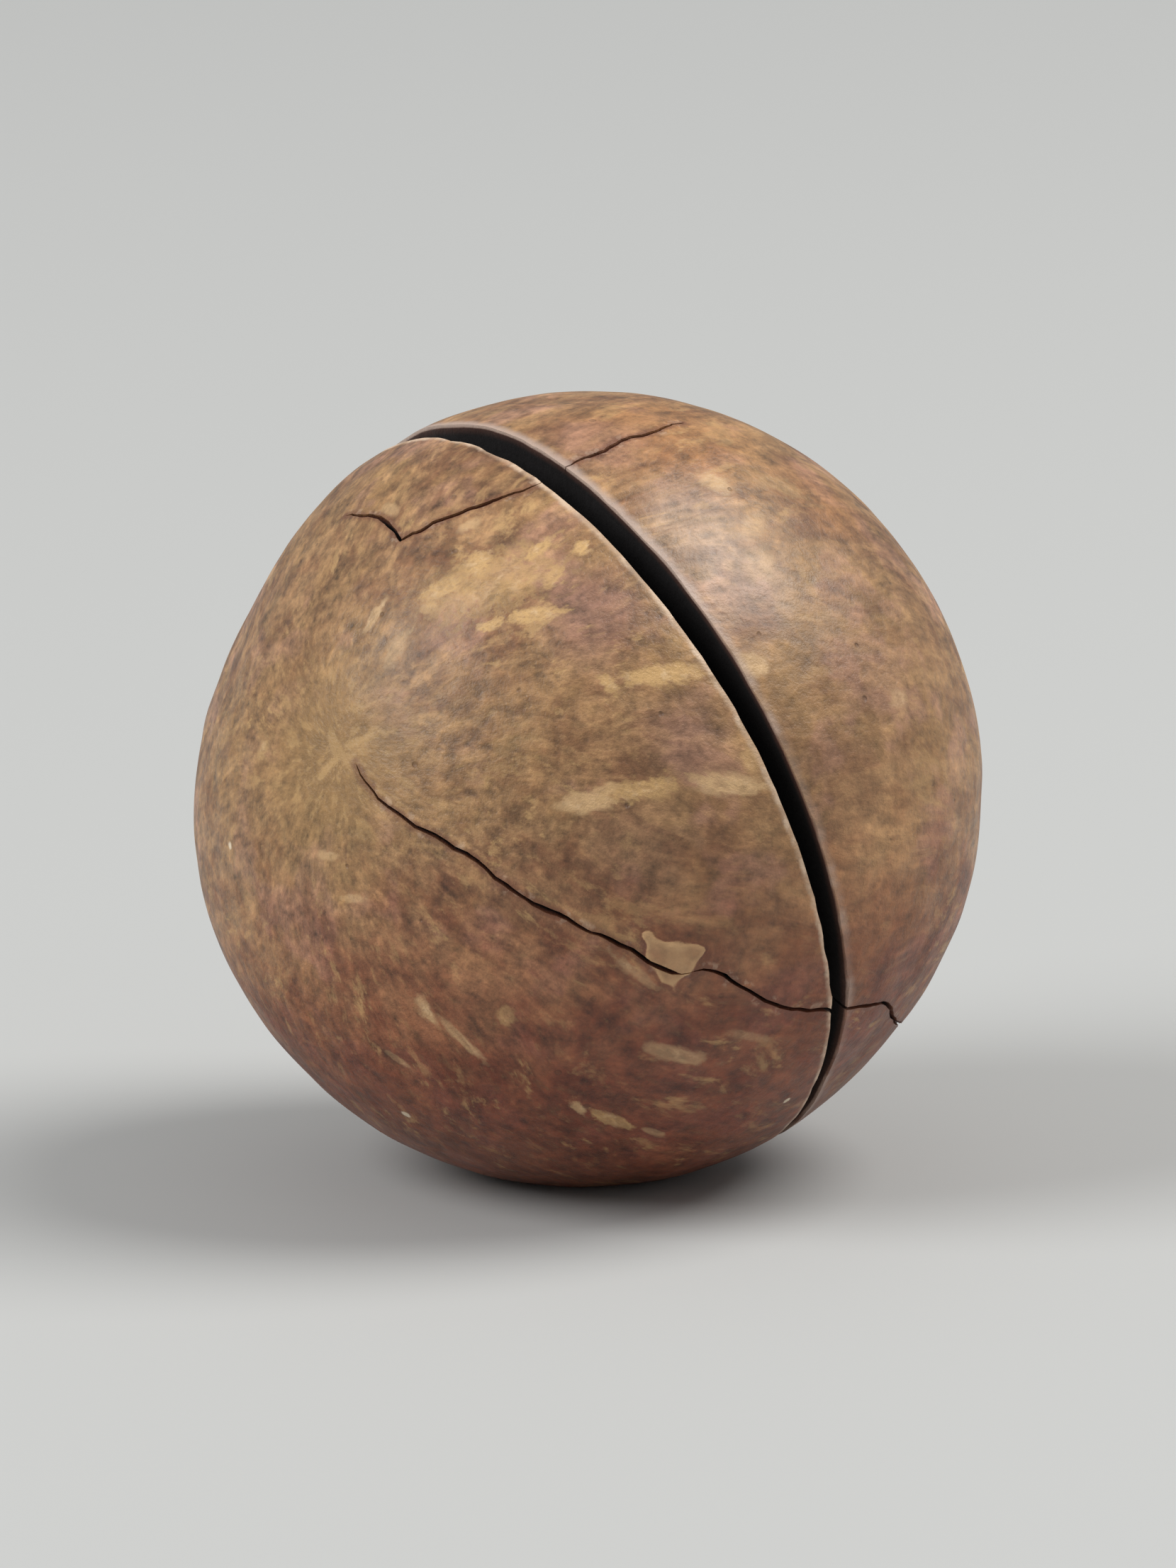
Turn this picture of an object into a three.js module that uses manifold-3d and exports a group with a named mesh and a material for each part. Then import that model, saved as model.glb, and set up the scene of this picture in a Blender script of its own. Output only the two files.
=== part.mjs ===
// A macadamia nut in its shell: one woody ball, sawn part of the way round and a little cracked.
// Millimetres, +Z up. It rests on a small flat at z = 0, and the origin is under its middle.
import * as THREE from "three";
import { mergeVertices } from "three/addons/utils/BufferGeometryUtils.js";
import Module from "manifold-3d";

// The ball
const RADIUS = 12.5;
const FLAT_RADIUS = 2.8;
const BALL_DETAIL = 14;

// Places on the shell are given as they look from the front, from this far above level.
const LOOK_DOWN = THREE.MathUtils.degToRad(12);

// Saw cut: its disc's axis (right, up, towards the front), how far it runs either way from
// the point nearest the front, and its depth through the shell.
const SAW_AXIS = [0.777, 0.439, -0.452];
const SAW_START = THREE.MathUtils.degToRad(-114);
const SAW_END = THREE.MathUtils.degToRad(104);
const SAW_DEPTH = 2.9;
const SAW_RUN_OUT = THREE.MathUtils.degToRad(16);
const SAW_STEPS = 72;
// The shell has sprung open a little where the cut starts, so the gap is wider there.
const SAW_WIDE = 0.92;
const SAW_NARROW = 0.54;
const SAW_CLOSES_FROM = THREE.MathUtils.degToRad(-23);
const SAW_CLOSES_TO = THREE.MathUtils.degToRad(57);

// Cracks are wedges, with a floor this wide, that run out at both ends.
const CRACK_FLOOR = 0.04;
const CRACK_STEP = 0.75;
const CRACK_FEWEST_STEPS = 4;
const CRACK_RUN_OUT = 1.6;

// How far a cutting bar stands clear of the shell, and how far its floor does at its very ends
const CLEARANCE = 0.6;
const END_CLEARANCE = 0.02;

// Stalk scar and the opposite end, which holds the seed's pore
const SCAR_AT = [-7.6, 1.1];
const PORE_RADIUS = 0.55;
const PORE_DEPTH = 0.3;
const PORE_DETAIL = 3;

const MERGE_WITHIN = 1e-5;
const SHELL_COLOUR = 0x94705a;

const wasm = await Module();
wasm.setup();

function fromFront([right, up, towards]) {
  return new THREE.Vector3(right, -towards, up).applyAxisAngle(new THREE.Vector3(1, 0, 0), -LOOK_DOWN);
}

// A direction on the shell, from millimetres right of and above the centre as seen from the front
function seenAt([right, up]) {
  const x = right / RADIUS;
  const y = up / RADIUS;
  const towards = Math.sqrt(Math.max(0, 1 - x * x - y * y));
  return fromFront([x, y, towards]).normalize();
}

// A direction on the shell, from degrees round from +X towards +Y and degrees above level
function bearing([round, above]) {
  const phi = THREE.MathUtils.degToRad(90 - above);
  const theta = THREE.MathUtils.degToRad(round);
  return new THREE.Vector3(Math.sin(phi) * Math.cos(theta), Math.sin(phi) * Math.sin(theta), Math.cos(phi));
}

const scar = seenAt(SCAR_AT);
const pore = scar.clone().negate();

// Swells and flats of the shell: where, how wide in degrees, and how far out in millimetres
const SWELLS = [
  { at: scar, width: 30, rise: 0.22 },
  { at: pore, width: 26, rise: 0.16 },
  { at: seenAt([-11.2, 5.2]), width: 22, rise: -0.6 },
  { at: seenAt([4, 10.9]), width: 24, rise: 0.24 },
  { at: seenAt([9.2, -8.2]), width: 16, rise: -0.34 },
  { at: seenAt([4.6, 7.6]), width: 17, rise: -0.14 },
  { at: seenAt([9.4, 2.6]), width: 24, rise: 0.1 },
  { at: seenAt([-2.6, -6.8]), width: 26, rise: 0.14 },
  { at: bearing([92, 28]), width: 24, rise: -0.2 },
  { at: bearing([128, -24]), width: 26, rise: 0.16 },
  { at: bearing([196, 2]), width: 24, rise: -0.16 },
  { at: bearing([35, -8]), width: 20, rise: -0.14 },
];
const RIPPLE = 0.045;

// The shell's radius in a direction
function shellRadius(d) {
  let r = RADIUS;
  for (const { at, width, rise } of SWELLS) {
    const off = d.angleTo(at) / THREE.MathUtils.degToRad(width);
    r += rise * Math.exp(-off * off);
  }
  r += RIPPLE * Math.sin(5.1 * d.x + 2.3 * d.y + 1) * Math.sin(4.3 * d.y - 3.1 * d.z + 2);
  return r;
}

// A closed geometry as a solid that can be joined and cut
function solid(geometry) {
  geometry.deleteAttribute("normal");
  geometry.deleteAttribute("uv");
  const merged = mergeVertices(geometry, MERGE_WITHIN);
  return new wasm.Manifold(
    new wasm.Mesh({
      numProp: 3,
      vertProperties: new Float32Array(merged.attributes.position.array),
      triVerts: new Uint32Array(merged.index.array),
    }),
  );
}

function moveVertices(geometry, place) {
  const position = geometry.attributes.position;
  const point = new THREE.Vector3();
  for (let i = 0; i < position.count; i += 1) {
    point.fromBufferAttribute(position, i);
    place(point);
    position.setXYZ(i, point.x, point.y, point.z);
  }
  return geometry;
}

// The whole ball, cut off flat below where it rests
function ball() {
  const shaped = moveVertices(new THREE.IcosahedronGeometry(1, BALL_DETAIL), (p) => {
    p.normalize();
    p.multiplyScalar(shellRadius(p));
  });
  const ground = new THREE.BoxGeometry(RADIUS, RADIUS, RADIUS);
  ground.translate(0, 0, flatHeight() - RADIUS / 2);
  return solid(shaped).subtract(solid(ground));
}

// The height, from the ball's centre, of the flat that it rests on
function flatHeight() {
  const bottom = shellRadius(new THREE.Vector3(0, 0, -1));
  return -Math.sqrt(bottom * bottom - FLAT_RADIUS * FLAT_RADIUS);
}

// A bar bent over the shell. At each step, frame gives its directions and half widths, and
// how deep its floor lies under the surface.
function barOverShell(steps, frame) {
  return solid(
    moveVertices(new THREE.BoxGeometry(1, 1, 1, steps, 1, 1), (p) => {
      const { out, side, depth, floorHalf, topHalf } = frame(p.x + 0.5);
      const above = p.z > 0;
      const across = Math.sign(p.y) * (above ? topHalf : floorHalf);
      const height = shellRadius(out) + (above ? CLEARANCE : -depth);
      p.copy(out).multiplyScalar(height).addScaledVector(side, across);
    }),
  );
}

// How deep a cut is near its ends, from 0 at an end to 1 where it is away from both by run
function runOut(distance, length, run) {
  const near = Math.min(distance, length - distance) / run;
  return near >= 1 ? 1 : Math.sqrt(Math.max(0, 1 - (1 - near) * (1 - near)));
}

// The saw's parallel-sided cut on a great circle of the shell
function sawCut() {
  const axis = fromFront(SAW_AXIS).normalize();
  const front = fromFront([0, 0, 1]);
  const nearest = front.addScaledVector(axis, -front.dot(axis)).normalize();
  const onward = axis.clone().cross(nearest);
  const sweep = SAW_END - SAW_START;
  return barOverShell(SAW_STEPS, (t) => {
    const angle = SAW_START + t * sweep;
    const out = nearest.clone().multiplyScalar(Math.cos(angle)).addScaledVector(onward, Math.sin(angle));
    const closing = THREE.MathUtils.smoothstep(angle, SAW_CLOSES_FROM, SAW_CLOSES_TO);
    const width = THREE.MathUtils.lerp(SAW_WIDE, SAW_NARROW, closing);
    return {
      out,
      side: axis,
      depth: SAW_DEPTH * runOut(t * sweep, sweep, SAW_RUN_OUT) - END_CLEARANCE,
      floorHalf: width / 2,
      topHalf: width / 2,
    };
  });
}

// A crack through the given directions: a wedge of a width at the surface and a depth
function crack(directions, width, depth) {
  const curve = new THREE.CatmullRomCurve3(directions, false, "centripetal");
  const length = curve.getLength() * RADIUS;
  const steps = Math.max(CRACK_FEWEST_STEPS, Math.round(length / CRACK_STEP));
  const slope = (width / 2 - CRACK_FLOOR / 2) / depth;
  return barOverShell(steps, (t) => {
    const out = curve.getPointAt(t).normalize();
    const side = out.clone().cross(curve.getTangentAt(t)).normalize();
    const deep = depth * runOut(t * length, length, CRACK_RUN_OUT) - END_CLEARANCE;
    return {
      out,
      side,
      depth: deep,
      floorHalf: CRACK_FLOOR / 2,
      topHalf: CRACK_FLOOR / 2 + slope * (deep + CLEARANCE),
    };
  });
}

// The pore: a shallow dish, scooped out by a ball
function poreDish() {
  const scoopRadius = (PORE_RADIUS * PORE_RADIUS + PORE_DEPTH * PORE_DEPTH) / (2 * PORE_DEPTH);
  const scoop = new THREE.IcosahedronGeometry(scoopRadius, PORE_DETAIL);
  const centre = pore.clone().multiplyScalar(shellRadius(pore) - PORE_DEPTH + scoopRadius);
  scoop.translate(centre.x, centre.y, centre.z);
  return solid(scoop);
}

// The cracks: across the cut's upper end, along the front from the scar, and behind
function cracks() {
  const overTop = [[-1.3, 9.5], [-3.1, 8.8], [-5.7, 7.7]];
  const acrossFront = [
    [-7.1, 0.8],
    [-5.9, -0.6],
    [-4, -1.7],
    [-1.9, -3.2],
    [0.9, -4.6],
    [2.5, -5.5],
    [3.9, -5.6],
    [5.8, -6.6],
    [7.7, -6.8],
    [9.4, -6.75],
  ];
  return [
    crack([...overTop.map(seenAt), seenAt([-6.5, 8.45]), seenAt([-7.6, 8.65])], 0.2, 0.7),
    crack([[-0.9, 9.8], [0.9, 10.7], [2.1, 11], [3, 11.25]].map(seenAt), 0.18, 0.6),
    crack(
      acrossFront.map(seenAt).concat([[-9, -36], [14, -37], [30, -31], [47, -36]].map(bearing)),
      0.22,
      0.8,
    ),
    crack([[30, -31], [38, -20], [36, -9], [45, 3]].map(bearing), 0.16, 0.6),
    crack([[140, 40], [150, 27], [147, 15], [157, 3], [154, -10]].map(bearing), 0.22, 0.8),
    crack([[157, 3], [168, 9], [177, 7]].map(bearing), 0.15, 0.5),
    crack([[10, -66], [52, -60], [80, -50], [98, -47], [116, -52]].map(bearing), 0.2, 0.7),
    crack([[176, -34], [168, -24], [158, -24], [150, -33]].map(bearing), 0.15, 0.5),
  ];
}

// The finished shell, moved so that its flat is at z = 0 and it is centred over the origin
function nutGeometry() {
  let shell = ball().subtract(sawCut());
  for (const cut of cracks()) shell = shell.subtract(cut);
  shell = shell.subtract(poreDish());
  const { vertProperties, triVerts } = shell.getMesh();
  const geometry = new THREE.BufferGeometry();
  geometry.setAttribute("position", new THREE.BufferAttribute(vertProperties, 3));
  geometry.setIndex(new THREE.BufferAttribute(triVerts, 1));
  geometry.computeBoundingBox();
  const middle = geometry.boundingBox.getCenter(new THREE.Vector3());
  geometry.translate(-middle.x, -middle.y, -geometry.boundingBox.min.z);
  geometry.computeVertexNormals();
  return geometry;
}

const nut = new THREE.Mesh(
  nutGeometry(),
  new THREE.MeshStandardMaterial({ color: SHELL_COLOUR, roughness: 0.55, metalness: 0 }),
);
nut.name = "nut";

const part = new THREE.Group();
part.add(nut);

export default part;
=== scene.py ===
"""A macadamia nut in its shell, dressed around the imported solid.

The shell is modelled in millimetres about its own centre and brought to metres at the end.
"""

import math

import bmesh
import bpy
import numpy as np
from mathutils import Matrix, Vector


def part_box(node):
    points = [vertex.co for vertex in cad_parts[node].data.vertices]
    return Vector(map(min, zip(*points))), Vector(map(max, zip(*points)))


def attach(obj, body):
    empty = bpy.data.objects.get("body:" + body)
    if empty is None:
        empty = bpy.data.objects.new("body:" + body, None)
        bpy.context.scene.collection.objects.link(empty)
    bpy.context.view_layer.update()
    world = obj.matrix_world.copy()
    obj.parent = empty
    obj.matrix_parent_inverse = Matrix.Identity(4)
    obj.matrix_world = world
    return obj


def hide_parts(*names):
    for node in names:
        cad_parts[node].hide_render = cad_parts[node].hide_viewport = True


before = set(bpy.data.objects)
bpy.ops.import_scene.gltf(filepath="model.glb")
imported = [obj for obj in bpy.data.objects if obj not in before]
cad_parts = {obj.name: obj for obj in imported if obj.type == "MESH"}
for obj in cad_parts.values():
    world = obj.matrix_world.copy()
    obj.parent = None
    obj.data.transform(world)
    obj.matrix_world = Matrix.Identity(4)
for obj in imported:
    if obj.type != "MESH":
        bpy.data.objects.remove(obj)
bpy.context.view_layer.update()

MM = 0.001

# The shell, with the same driving sizes as the solid
RADIUS = 12.5
FLAT_RADIUS = 2.8
RIPPLE = 0.045
LOOK_DOWN = math.radians(12)

# Its mesh: an icosphere, split once more near the cut, cracks and ends, and again at the chip
BALL_SUBDIVISIONS = 7
FINE_WITHIN = 0.75
FINE_AT_SCAR = 3.5
FINE_AT_PORE = 2
FINE_AT_CHIP = 1.5

# Saw cut
SAW_AXIS = (0.777, 0.439, -0.452)
SAW_START = math.radians(-114)
SAW_END = math.radians(104)
SAW_DEPTH = 2.9
SAW_RUN_OUT = math.radians(16)
SAW_WIDE = 0.92
SAW_NARROW = 0.54
SAW_CLOSES_FROM = -0.4
SAW_CLOSES_TO = 1.0
SAW_STEP = 0.1
LIP_DEPTH = 0.08

# Cracks
CRACK_FLOOR = 0.03
CRACK_STEP = 0.14
CRACK_JITTER = 0.045
CRACK_RUN_OUT = 2.2
CRACK_LIFT = 0.025
CRACK_LIFT_REACH = 0.9
CLEARANCE = 0.6

# Stalk scar, pore, and the chip that stands proud beside the front crack (mm right and up)
SCAR_AT = (-7.6, 1.1)
PORE_RADIUS = 0.62
PORE_DEPTH = 0.16
CHIP_CORNERS = ((1.72, -4.36), (3.66, -4.86), (3.27, -5.78), (2.7, -6.1), (2.22, -5.98), (1.74, -4.9))
CHIP_MIDDLE = (2.7, -5.25)
CHIP_RISE = 0.06
CHIP_EDGE = 0.07
CHIP_RAGGED = 0.07
# Where the chip bridges the crack, and half as far as it does
BRIDGE_AT = (3.1, -5.58)
BRIDGE_HALF = 0.32

# Camera
CAMERA_DISTANCE = 0.55
FRAME_WIDTH = 0.037
SENSOR = 36

rng = np.random.default_rng(20)


def from_front(right, up, towards):
    """A direction given as it looks from the front, tipped into the part's frame."""
    tip = LOOK_DOWN
    return np.array([
        right,
        up * math.sin(tip) - towards * math.cos(tip),
        up * math.cos(tip) + towards * math.sin(tip),
    ])


def unit(v):
    return v / np.linalg.norm(v, axis=-1, keepdims=True)


def seen_at(right, up):
    """The direction of a place on the shell, in millimetres right and up as seen from the front."""
    x, y = right / RADIUS, up / RADIUS
    return unit(from_front(x, y, math.sqrt(max(0, 1 - x * x - y * y))))


def bearing(round_degrees, above_degrees):
    """The direction of a place on the shell, from degrees round from +X and degrees above level."""
    a, b = math.radians(round_degrees), math.radians(above_degrees)
    return np.array([math.cos(a) * math.cos(b), math.sin(a) * math.cos(b), math.sin(b)])


def reach(d, at):
    """How far each direction is from one of them, in millimetres over the shell."""
    return RADIUS * np.arccos(np.clip(d @ at, -1, 1))


SCAR = seen_at(*SCAR_AT)
PORE = -SCAR
SCAR_ACROSS = unit(np.cross([0, 0, 1.0], SCAR))
SCAR_UP = np.cross(SCAR, SCAR_ACROSS)
RIGHT = from_front(1, 0, 0)
UP = from_front(0, 1, 0)
FRONT = from_front(0, 0, 1)
SAW = unit(from_front(*SAW_AXIS))
SAW_NEAREST = unit(FRONT - FRONT.dot(SAW) * SAW)
SAW_ONWARD = np.cross(SAW, SAW_NEAREST)

# Swells and flats of the shell: where, how wide in degrees, and how far out in millimetres
SWELLS = [
    (SCAR, 30, 0.22),
    (PORE, 26, 0.16),
    (seen_at(-11.2, 5.2), 22, -0.6),
    (seen_at(4, 10.9), 24, 0.24),
    (seen_at(9.2, -8.2), 16, -0.34),
    (seen_at(4.6, 7.6), 17, -0.14),
    (seen_at(9.4, 2.6), 24, 0.1),
    (seen_at(-2.6, -6.8), 26, 0.14),
    (bearing(92, 28), 24, -0.2),
    (bearing(128, -24), 26, 0.16),
    (bearing(196, 2), 24, -0.16),
    (bearing(35, -8), 20, -0.14),
]

# Cracks, each as directions, width and depth
OVER_TOP = ((-1.3, 9.5), (-3.1, 8.8), (-5.45, 7.8), (-5.7, 7.7), (-5.82, 7.86), (-6.5, 8.45), (-7.6, 8.65))
BEHIND_CUT = ((-0.9, 9.8), (0.9, 10.7), (2.1, 11), (3, 11.25))
ACROSS_FRONT = (
    (-7.1, 0.8), (-5.9, -0.6), (-4, -1.7), (-1.9, -3.2), (0.9, -4.6),
    (2.5, -5.5), (3.9, -5.6), (5.8, -6.6), (7.7, -6.8), (9.4, -6.75),
)
CRACKS = [
    ([seen_at(*at) for at in OVER_TOP], 0.2, 0.6),
    ([seen_at(*at) for at in BEHIND_CUT], 0.16, 0.5),
    ([seen_at(*at) for at in ACROSS_FRONT]
     + [bearing(*at) for at in ((-9, -36), (14, -37), (30, -31), (47, -36))], 0.17, 0.7),
    ([bearing(*at) for at in ((30, -31), (38, -20), (36, -9), (45, 3))], 0.08, 0.5),
    ([bearing(*at) for at in ((140, 40), (150, 27), (147, 15), (157, 3), (154, -10))], 0.12, 0.7),
    ([bearing(*at) for at in ((157, 3), (168, 9), (177, 7))], 0.08, 0.5),
    ([bearing(*at) for at in ((10, -66), (52, -60), (80, -50), (98, -47), (116, -52))], 0.11, 0.6),
    ([bearing(*at) for at in ((176, -34), (168, -24), (158, -24), (150, -33))], 0.08, 0.5),
]


def shell_radius(d):
    """The shell's main radius in each of the directions d, as in the solid."""
    r = np.full(len(d), RADIUS, float)
    for at, width, rise in SWELLS:
        r += rise * np.exp(-(reach(d, at) / (RADIUS * math.radians(width))) ** 2)
    x, y, z = d.T
    return r + RIPPLE * np.sin(5.1 * x + 2.3 * y + 1) * np.sin(4.3 * y - 3.1 * z + 2)


def flat_height():
    bottom = shell_radius(np.array([[0, 0, -1.0]]))[0]
    return -math.sqrt(bottom * bottom - FLAT_RADIUS * FLAT_RADIUS)


def smooth_step(value, low, high):
    t = np.clip((value - low) / (high - low), 0, 1)
    return t * t * (3 - 2 * t)


def run_out(distance, length, run):
    """How deep a cut is near its ends: 0 at an end, 1 where it is away from both by run."""
    near = np.clip(np.minimum(distance, length - distance) / run, 0, 1)
    return np.sqrt(1 - (1 - near) ** 2)


def wander(count, step, grain, amount):
    """A smooth random walk about zero, for places that are step apart, with bends grain long."""
    knots = max(4, int(count * step / grain) + 3)
    values = rng.normal(0, amount, knots)
    return np.interp(np.linspace(0, knots - 1, count), np.arange(knots), values)


def smooth_path(directions, step):
    """Directions about every step millimetres on a smooth line through the given ones, and its length."""
    points = np.array(directions)
    points = np.vstack([2 * points[0] - points[1], points, 2 * points[-1] - points[-2]])
    fine = []
    for a, b, c, d in zip(points, points[1:], points[2:], points[3:]):
        t = np.linspace(0, 1, 40, endpoint=False)[:, None]
        fine.append(0.5 * (2 * b + (c - a) * t + (2 * a - 5 * b + 4 * c - d) * t**2
                           + (3 * b - a - 3 * c + d) * t**3))
    fine = unit(np.vstack(fine + [points[-2][None]]))
    along = np.concatenate([[0], np.cumsum(np.linalg.norm(np.diff(fine, axis=0), axis=1))]) * RADIUS
    count = max(8, int(along[-1] / step)) + 1
    places = np.linspace(0, along[-1], count)
    return unit(np.stack([np.interp(places, along, axis) for axis in fine.T], axis=1)), along[-1]


class Crack:
    """One crack: the line it wanders along, and its half width and depth at each step of the line."""

    def __init__(self, directions, width, depth):
        path, length = smooth_path(directions, CRACK_STEP)
        count = len(path)
        shift = wander(count, CRACK_STEP, 0.5, CRACK_JITTER) + wander(count, CRACK_STEP, 0.2, CRACK_JITTER / 3)
        self.path = unit(path + self.sideways(path) * (shift / RADIUS)[:, None])
        self.side = self.sideways(path)
        end = run_out(np.linspace(0, length, count), length, CRACK_RUN_OUT) ** 2
        # The raised chip closes the crack where it bridges it.
        to_bridge = reach(self.path, seen_at(*BRIDGE_AT))
        self.open = end * (1 - 0.97 * smooth_step(to_bridge, BRIDGE_HALF + 0.14, BRIDGE_HALF))
        self.depth = depth * self.open + 0.02
        half = width * (0.8 + wander(count, CRACK_STEP, 0.8, 0.14)) / 2
        floor = CRACK_FLOOR / 2
        self.half = np.maximum(floor + (half - floor) * self.open, floor * 1.05)

    @staticmethod
    def sideways(path):
        return unit(np.cross(path, np.gradient(path, axis=0)))

    def cutter(self):
        """The thin wedge that opens the crack."""
        floor = np.full(len(self.path), CRACK_FLOOR / 2)
        top = self.half + (self.half - floor) / self.depth * CLEARANCE
        heights = [-self.depth, np.full(len(self.path), CLEARANCE)]
        return bend_over_shell(bar("crack_cutter", len(self.path) - 1, 2), self.path, self.side,
                               heights, [floor, top], [floor, top])

    def nearest(self, d):
        """For each direction: millimetres from the crack, which side of it, and how open it is there."""
        i = (d @ self.path.T).argmax(axis=1)
        gap = d - self.path[i]
        along = unit(np.cross(self.side[i], self.path[i]))
        inside = np.clip((gap * along).sum(axis=1), -CRACK_STEP / RADIUS, CRACK_STEP / RADIUS)
        inside[(i == 0) | (i == len(self.path) - 1)] = 0
        gap -= along * inside[:, None]
        return RADIUS * np.linalg.norm(gap, axis=1), np.sign((gap * self.side[i]).sum(axis=1)), self.open[i]


def chip_inside(d):
    """How far each direction is inside the chip's ragged outline, in millimetres; negative outside it."""
    right, up = RADIUS * (d @ RIGHT), RADIUS * (d @ UP)
    inside = np.full(len(d), RADIUS)
    for (x0, y0), (x1, y1) in zip(CHIP_CORNERS, CHIP_CORNERS[1:] + CHIP_CORNERS[:1]):
        length = math.hypot(x1 - x0, y1 - y0)
        inside = np.minimum(inside, ((y1 - y0) * (right - x0) - (x1 - x0) * (up - y0)) / length)
    inside += CHIP_RAGGED * waves(d, 0.8, 16, 4)
    return np.where(d @ FRONT > 0, np.maximum(inside, -1), -1)


def crack_distances(d):
    """For each direction: millimetres from the nearest crack, and how much its side of it is lifted."""
    distance = np.full(len(d), RADIUS)
    lift = np.zeros(len(d))
    for crack in crack_lines:
        near = np.flatnonzero((d @ crack.path[::6].T).max(axis=1) > math.cos(3 / RADIUS))
        away, side, wide = crack.nearest(d[near])
        distance[near] = np.minimum(distance[near], away)
        lift[near] += np.where(side > 0, wide, 0) * np.exp(-(away / CRACK_LIFT_REACH) ** 2)
    return distance, lift


def saw_distance(d):
    """How far each direction is, in millimetres, from the saw cut's middle line."""
    angle = np.clip(np.arctan2(d @ SAW_ONWARD, d @ SAW_NEAREST), SAW_START, SAW_END)
    path = np.cos(angle)[:, None] * SAW_NEAREST + np.sin(angle)[:, None] * SAW_ONWARD
    return RADIUS * np.linalg.norm(d - path, axis=1)


def waves(d, wavelength, count, seed):
    """A rolling, seamless random relief of about unit height over the shell."""
    draw = np.random.default_rng(seed)
    total = np.zeros(len(d))
    for _ in range(count):
        turn = unit(draw.normal(size=3))
        k = 2 * math.pi * RADIUS / wavelength * draw.uniform(0.7, 1.3)
        total += np.sin(k * (d @ turn) + draw.uniform(0, 2 * math.pi))
    return total / math.sqrt(count / 2)


def relief(d):
    """The fine unevenness of the shell, in millimetres."""
    r = 0.024 * waves(d, 7, 14, 1) + 0.011 * waves(d, 2.8, 20, 2) + 0.004 * waves(d, 1.3, 24, 3)
    r -= 0.05 * np.exp(-reach(d, SCAR) ** 2)
    to_pore = reach(d, PORE)
    r -= PORE_DEPTH * np.exp(-(to_pore / PORE_RADIUS) ** 4)
    r += 0.05 * np.exp(-((to_pore - PORE_RADIUS * 1.45) / 0.22) ** 2)
    r += CRACK_LIFT * crack_distances(d)[1]
    return r + CHIP_RISE * smooth_step(chip_inside(d), 0, CHIP_EDGE)


def alone(ob):
    """Leaves one object selected and active."""
    bpy.ops.object.select_all(action="DESELECT")
    ob.select_set(True)
    bpy.context.view_layer.objects.active = ob
    return ob


def points_of(ob):
    co = np.empty(len(ob.data.vertices) * 3)
    ob.data.vertices.foreach_get("co", co)
    return co.reshape(-1, 3)


def set_points(ob, co):
    ob.data.vertices.foreach_set("co", np.ascontiguousarray(co, float).ravel())
    ob.data.update()


def bar(name, steps, levels):
    """A unit bar along X, divided into steps along it and into levels of height."""
    bpy.ops.object.select_all(action="DESELECT")
    bpy.ops.mesh.primitive_cube_add(size=1, location=(0, 0, 0))
    ob = alone(bpy.context.object)
    ob.name = name
    for axis, cuts in ((0, steps - 1), (2, levels - 2)):
        if cuts < 1:
            continue
        bpy.ops.object.mode_set(mode="EDIT")
        bpy.ops.mesh.select_mode(type="EDGE")
        bpy.ops.mesh.select_all(action="DESELECT")
        mesh = bmesh.from_edit_mesh(ob.data)
        for edge in mesh.edges:
            a, b = (v.co for v in edge.verts)
            edge.select_set(abs(a[axis] - b[axis]) > 0.5)
        bmesh.update_edit_mesh(ob.data)
        bpy.ops.mesh.subdivide(number_cuts=cuts)
        bpy.ops.object.mode_set(mode="OBJECT")
    return ob


def bend_over_shell(ob, path, side, heights, left, right):
    """Bends a unit bar over the shell: for each level and step, its height and how wide it is each way."""
    co = points_of(ob)
    steps = len(path) - 1
    step = np.rint((co[:, 0] + 0.5) * steps).astype(int)
    level = np.rint((co[:, 2] + 0.5) * (len(heights) - 1)).astype(int)
    height = shell_radius(path)[step] + np.array(heights)[level, step]
    across = np.where(co[:, 1] > 0, np.array(right)[level, step], -np.array(left)[level, step])
    set_points(ob, path[step] * height[:, None] + side[step] * across[:, None])
    return ob


def cut_away(ob, cutter):
    """Cuts a closed cutter out of a piece and removes the cutter."""
    alone(ob)
    bpy.ops.object.modifier_add(type="BOOLEAN")
    cut = ob.modifiers[-1]
    cut.operation = "DIFFERENCE"
    cut.solver = "MANIFOLD"
    cut.object = cutter
    bpy.ops.object.modifier_apply(modifier=cut.name)
    bpy.data.objects.remove(cutter)


def saw_cutter():
    """The saw's cut, with walls that lean a little where the lips have crumbled."""
    sweep = SAW_END - SAW_START
    steps = int(sweep * RADIUS / SAW_STEP)
    angle = np.linspace(SAW_START, SAW_END, steps + 1)
    path = np.cos(angle)[:, None] * SAW_NEAREST + np.sin(angle)[:, None] * SAW_ONWARD
    width = SAW_WIDE + (SAW_NARROW - SAW_WIDE) * smooth_step(angle, SAW_CLOSES_FROM, SAW_CLOSES_TO)
    half = width / 2 + wander(steps + 1, SAW_STEP, 0.9, 0.012)
    crumble = np.abs(wander(steps + 1, SAW_STEP, 0.35, 0.035)) + 0.045
    # The side that has sprung outwards keeps a sharper lip.
    sharper = np.abs(wander(steps + 1, SAW_STEP, 0.5, 0.03)) + 0.012
    lip = LIP_DEPTH + 0.6 * crumble
    depth = SAW_DEPTH * run_out(angle - SAW_START, sweep, SAW_RUN_OUT)
    depth = np.maximum(depth, 2.2 * lip)
    heights = [-depth, -lip, 0 * lip, CLEARANCE + 0 * lip]
    left, right = ([half, half, half + lean, half + lean * (1 + CLEARANCE / lip)] for lean in (crumble, sharper))
    side = np.repeat(SAW[None], steps + 1, axis=0)
    return bend_over_shell(bar("saw_cutter", steps, 4), path, side, heights, left, right)


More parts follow.
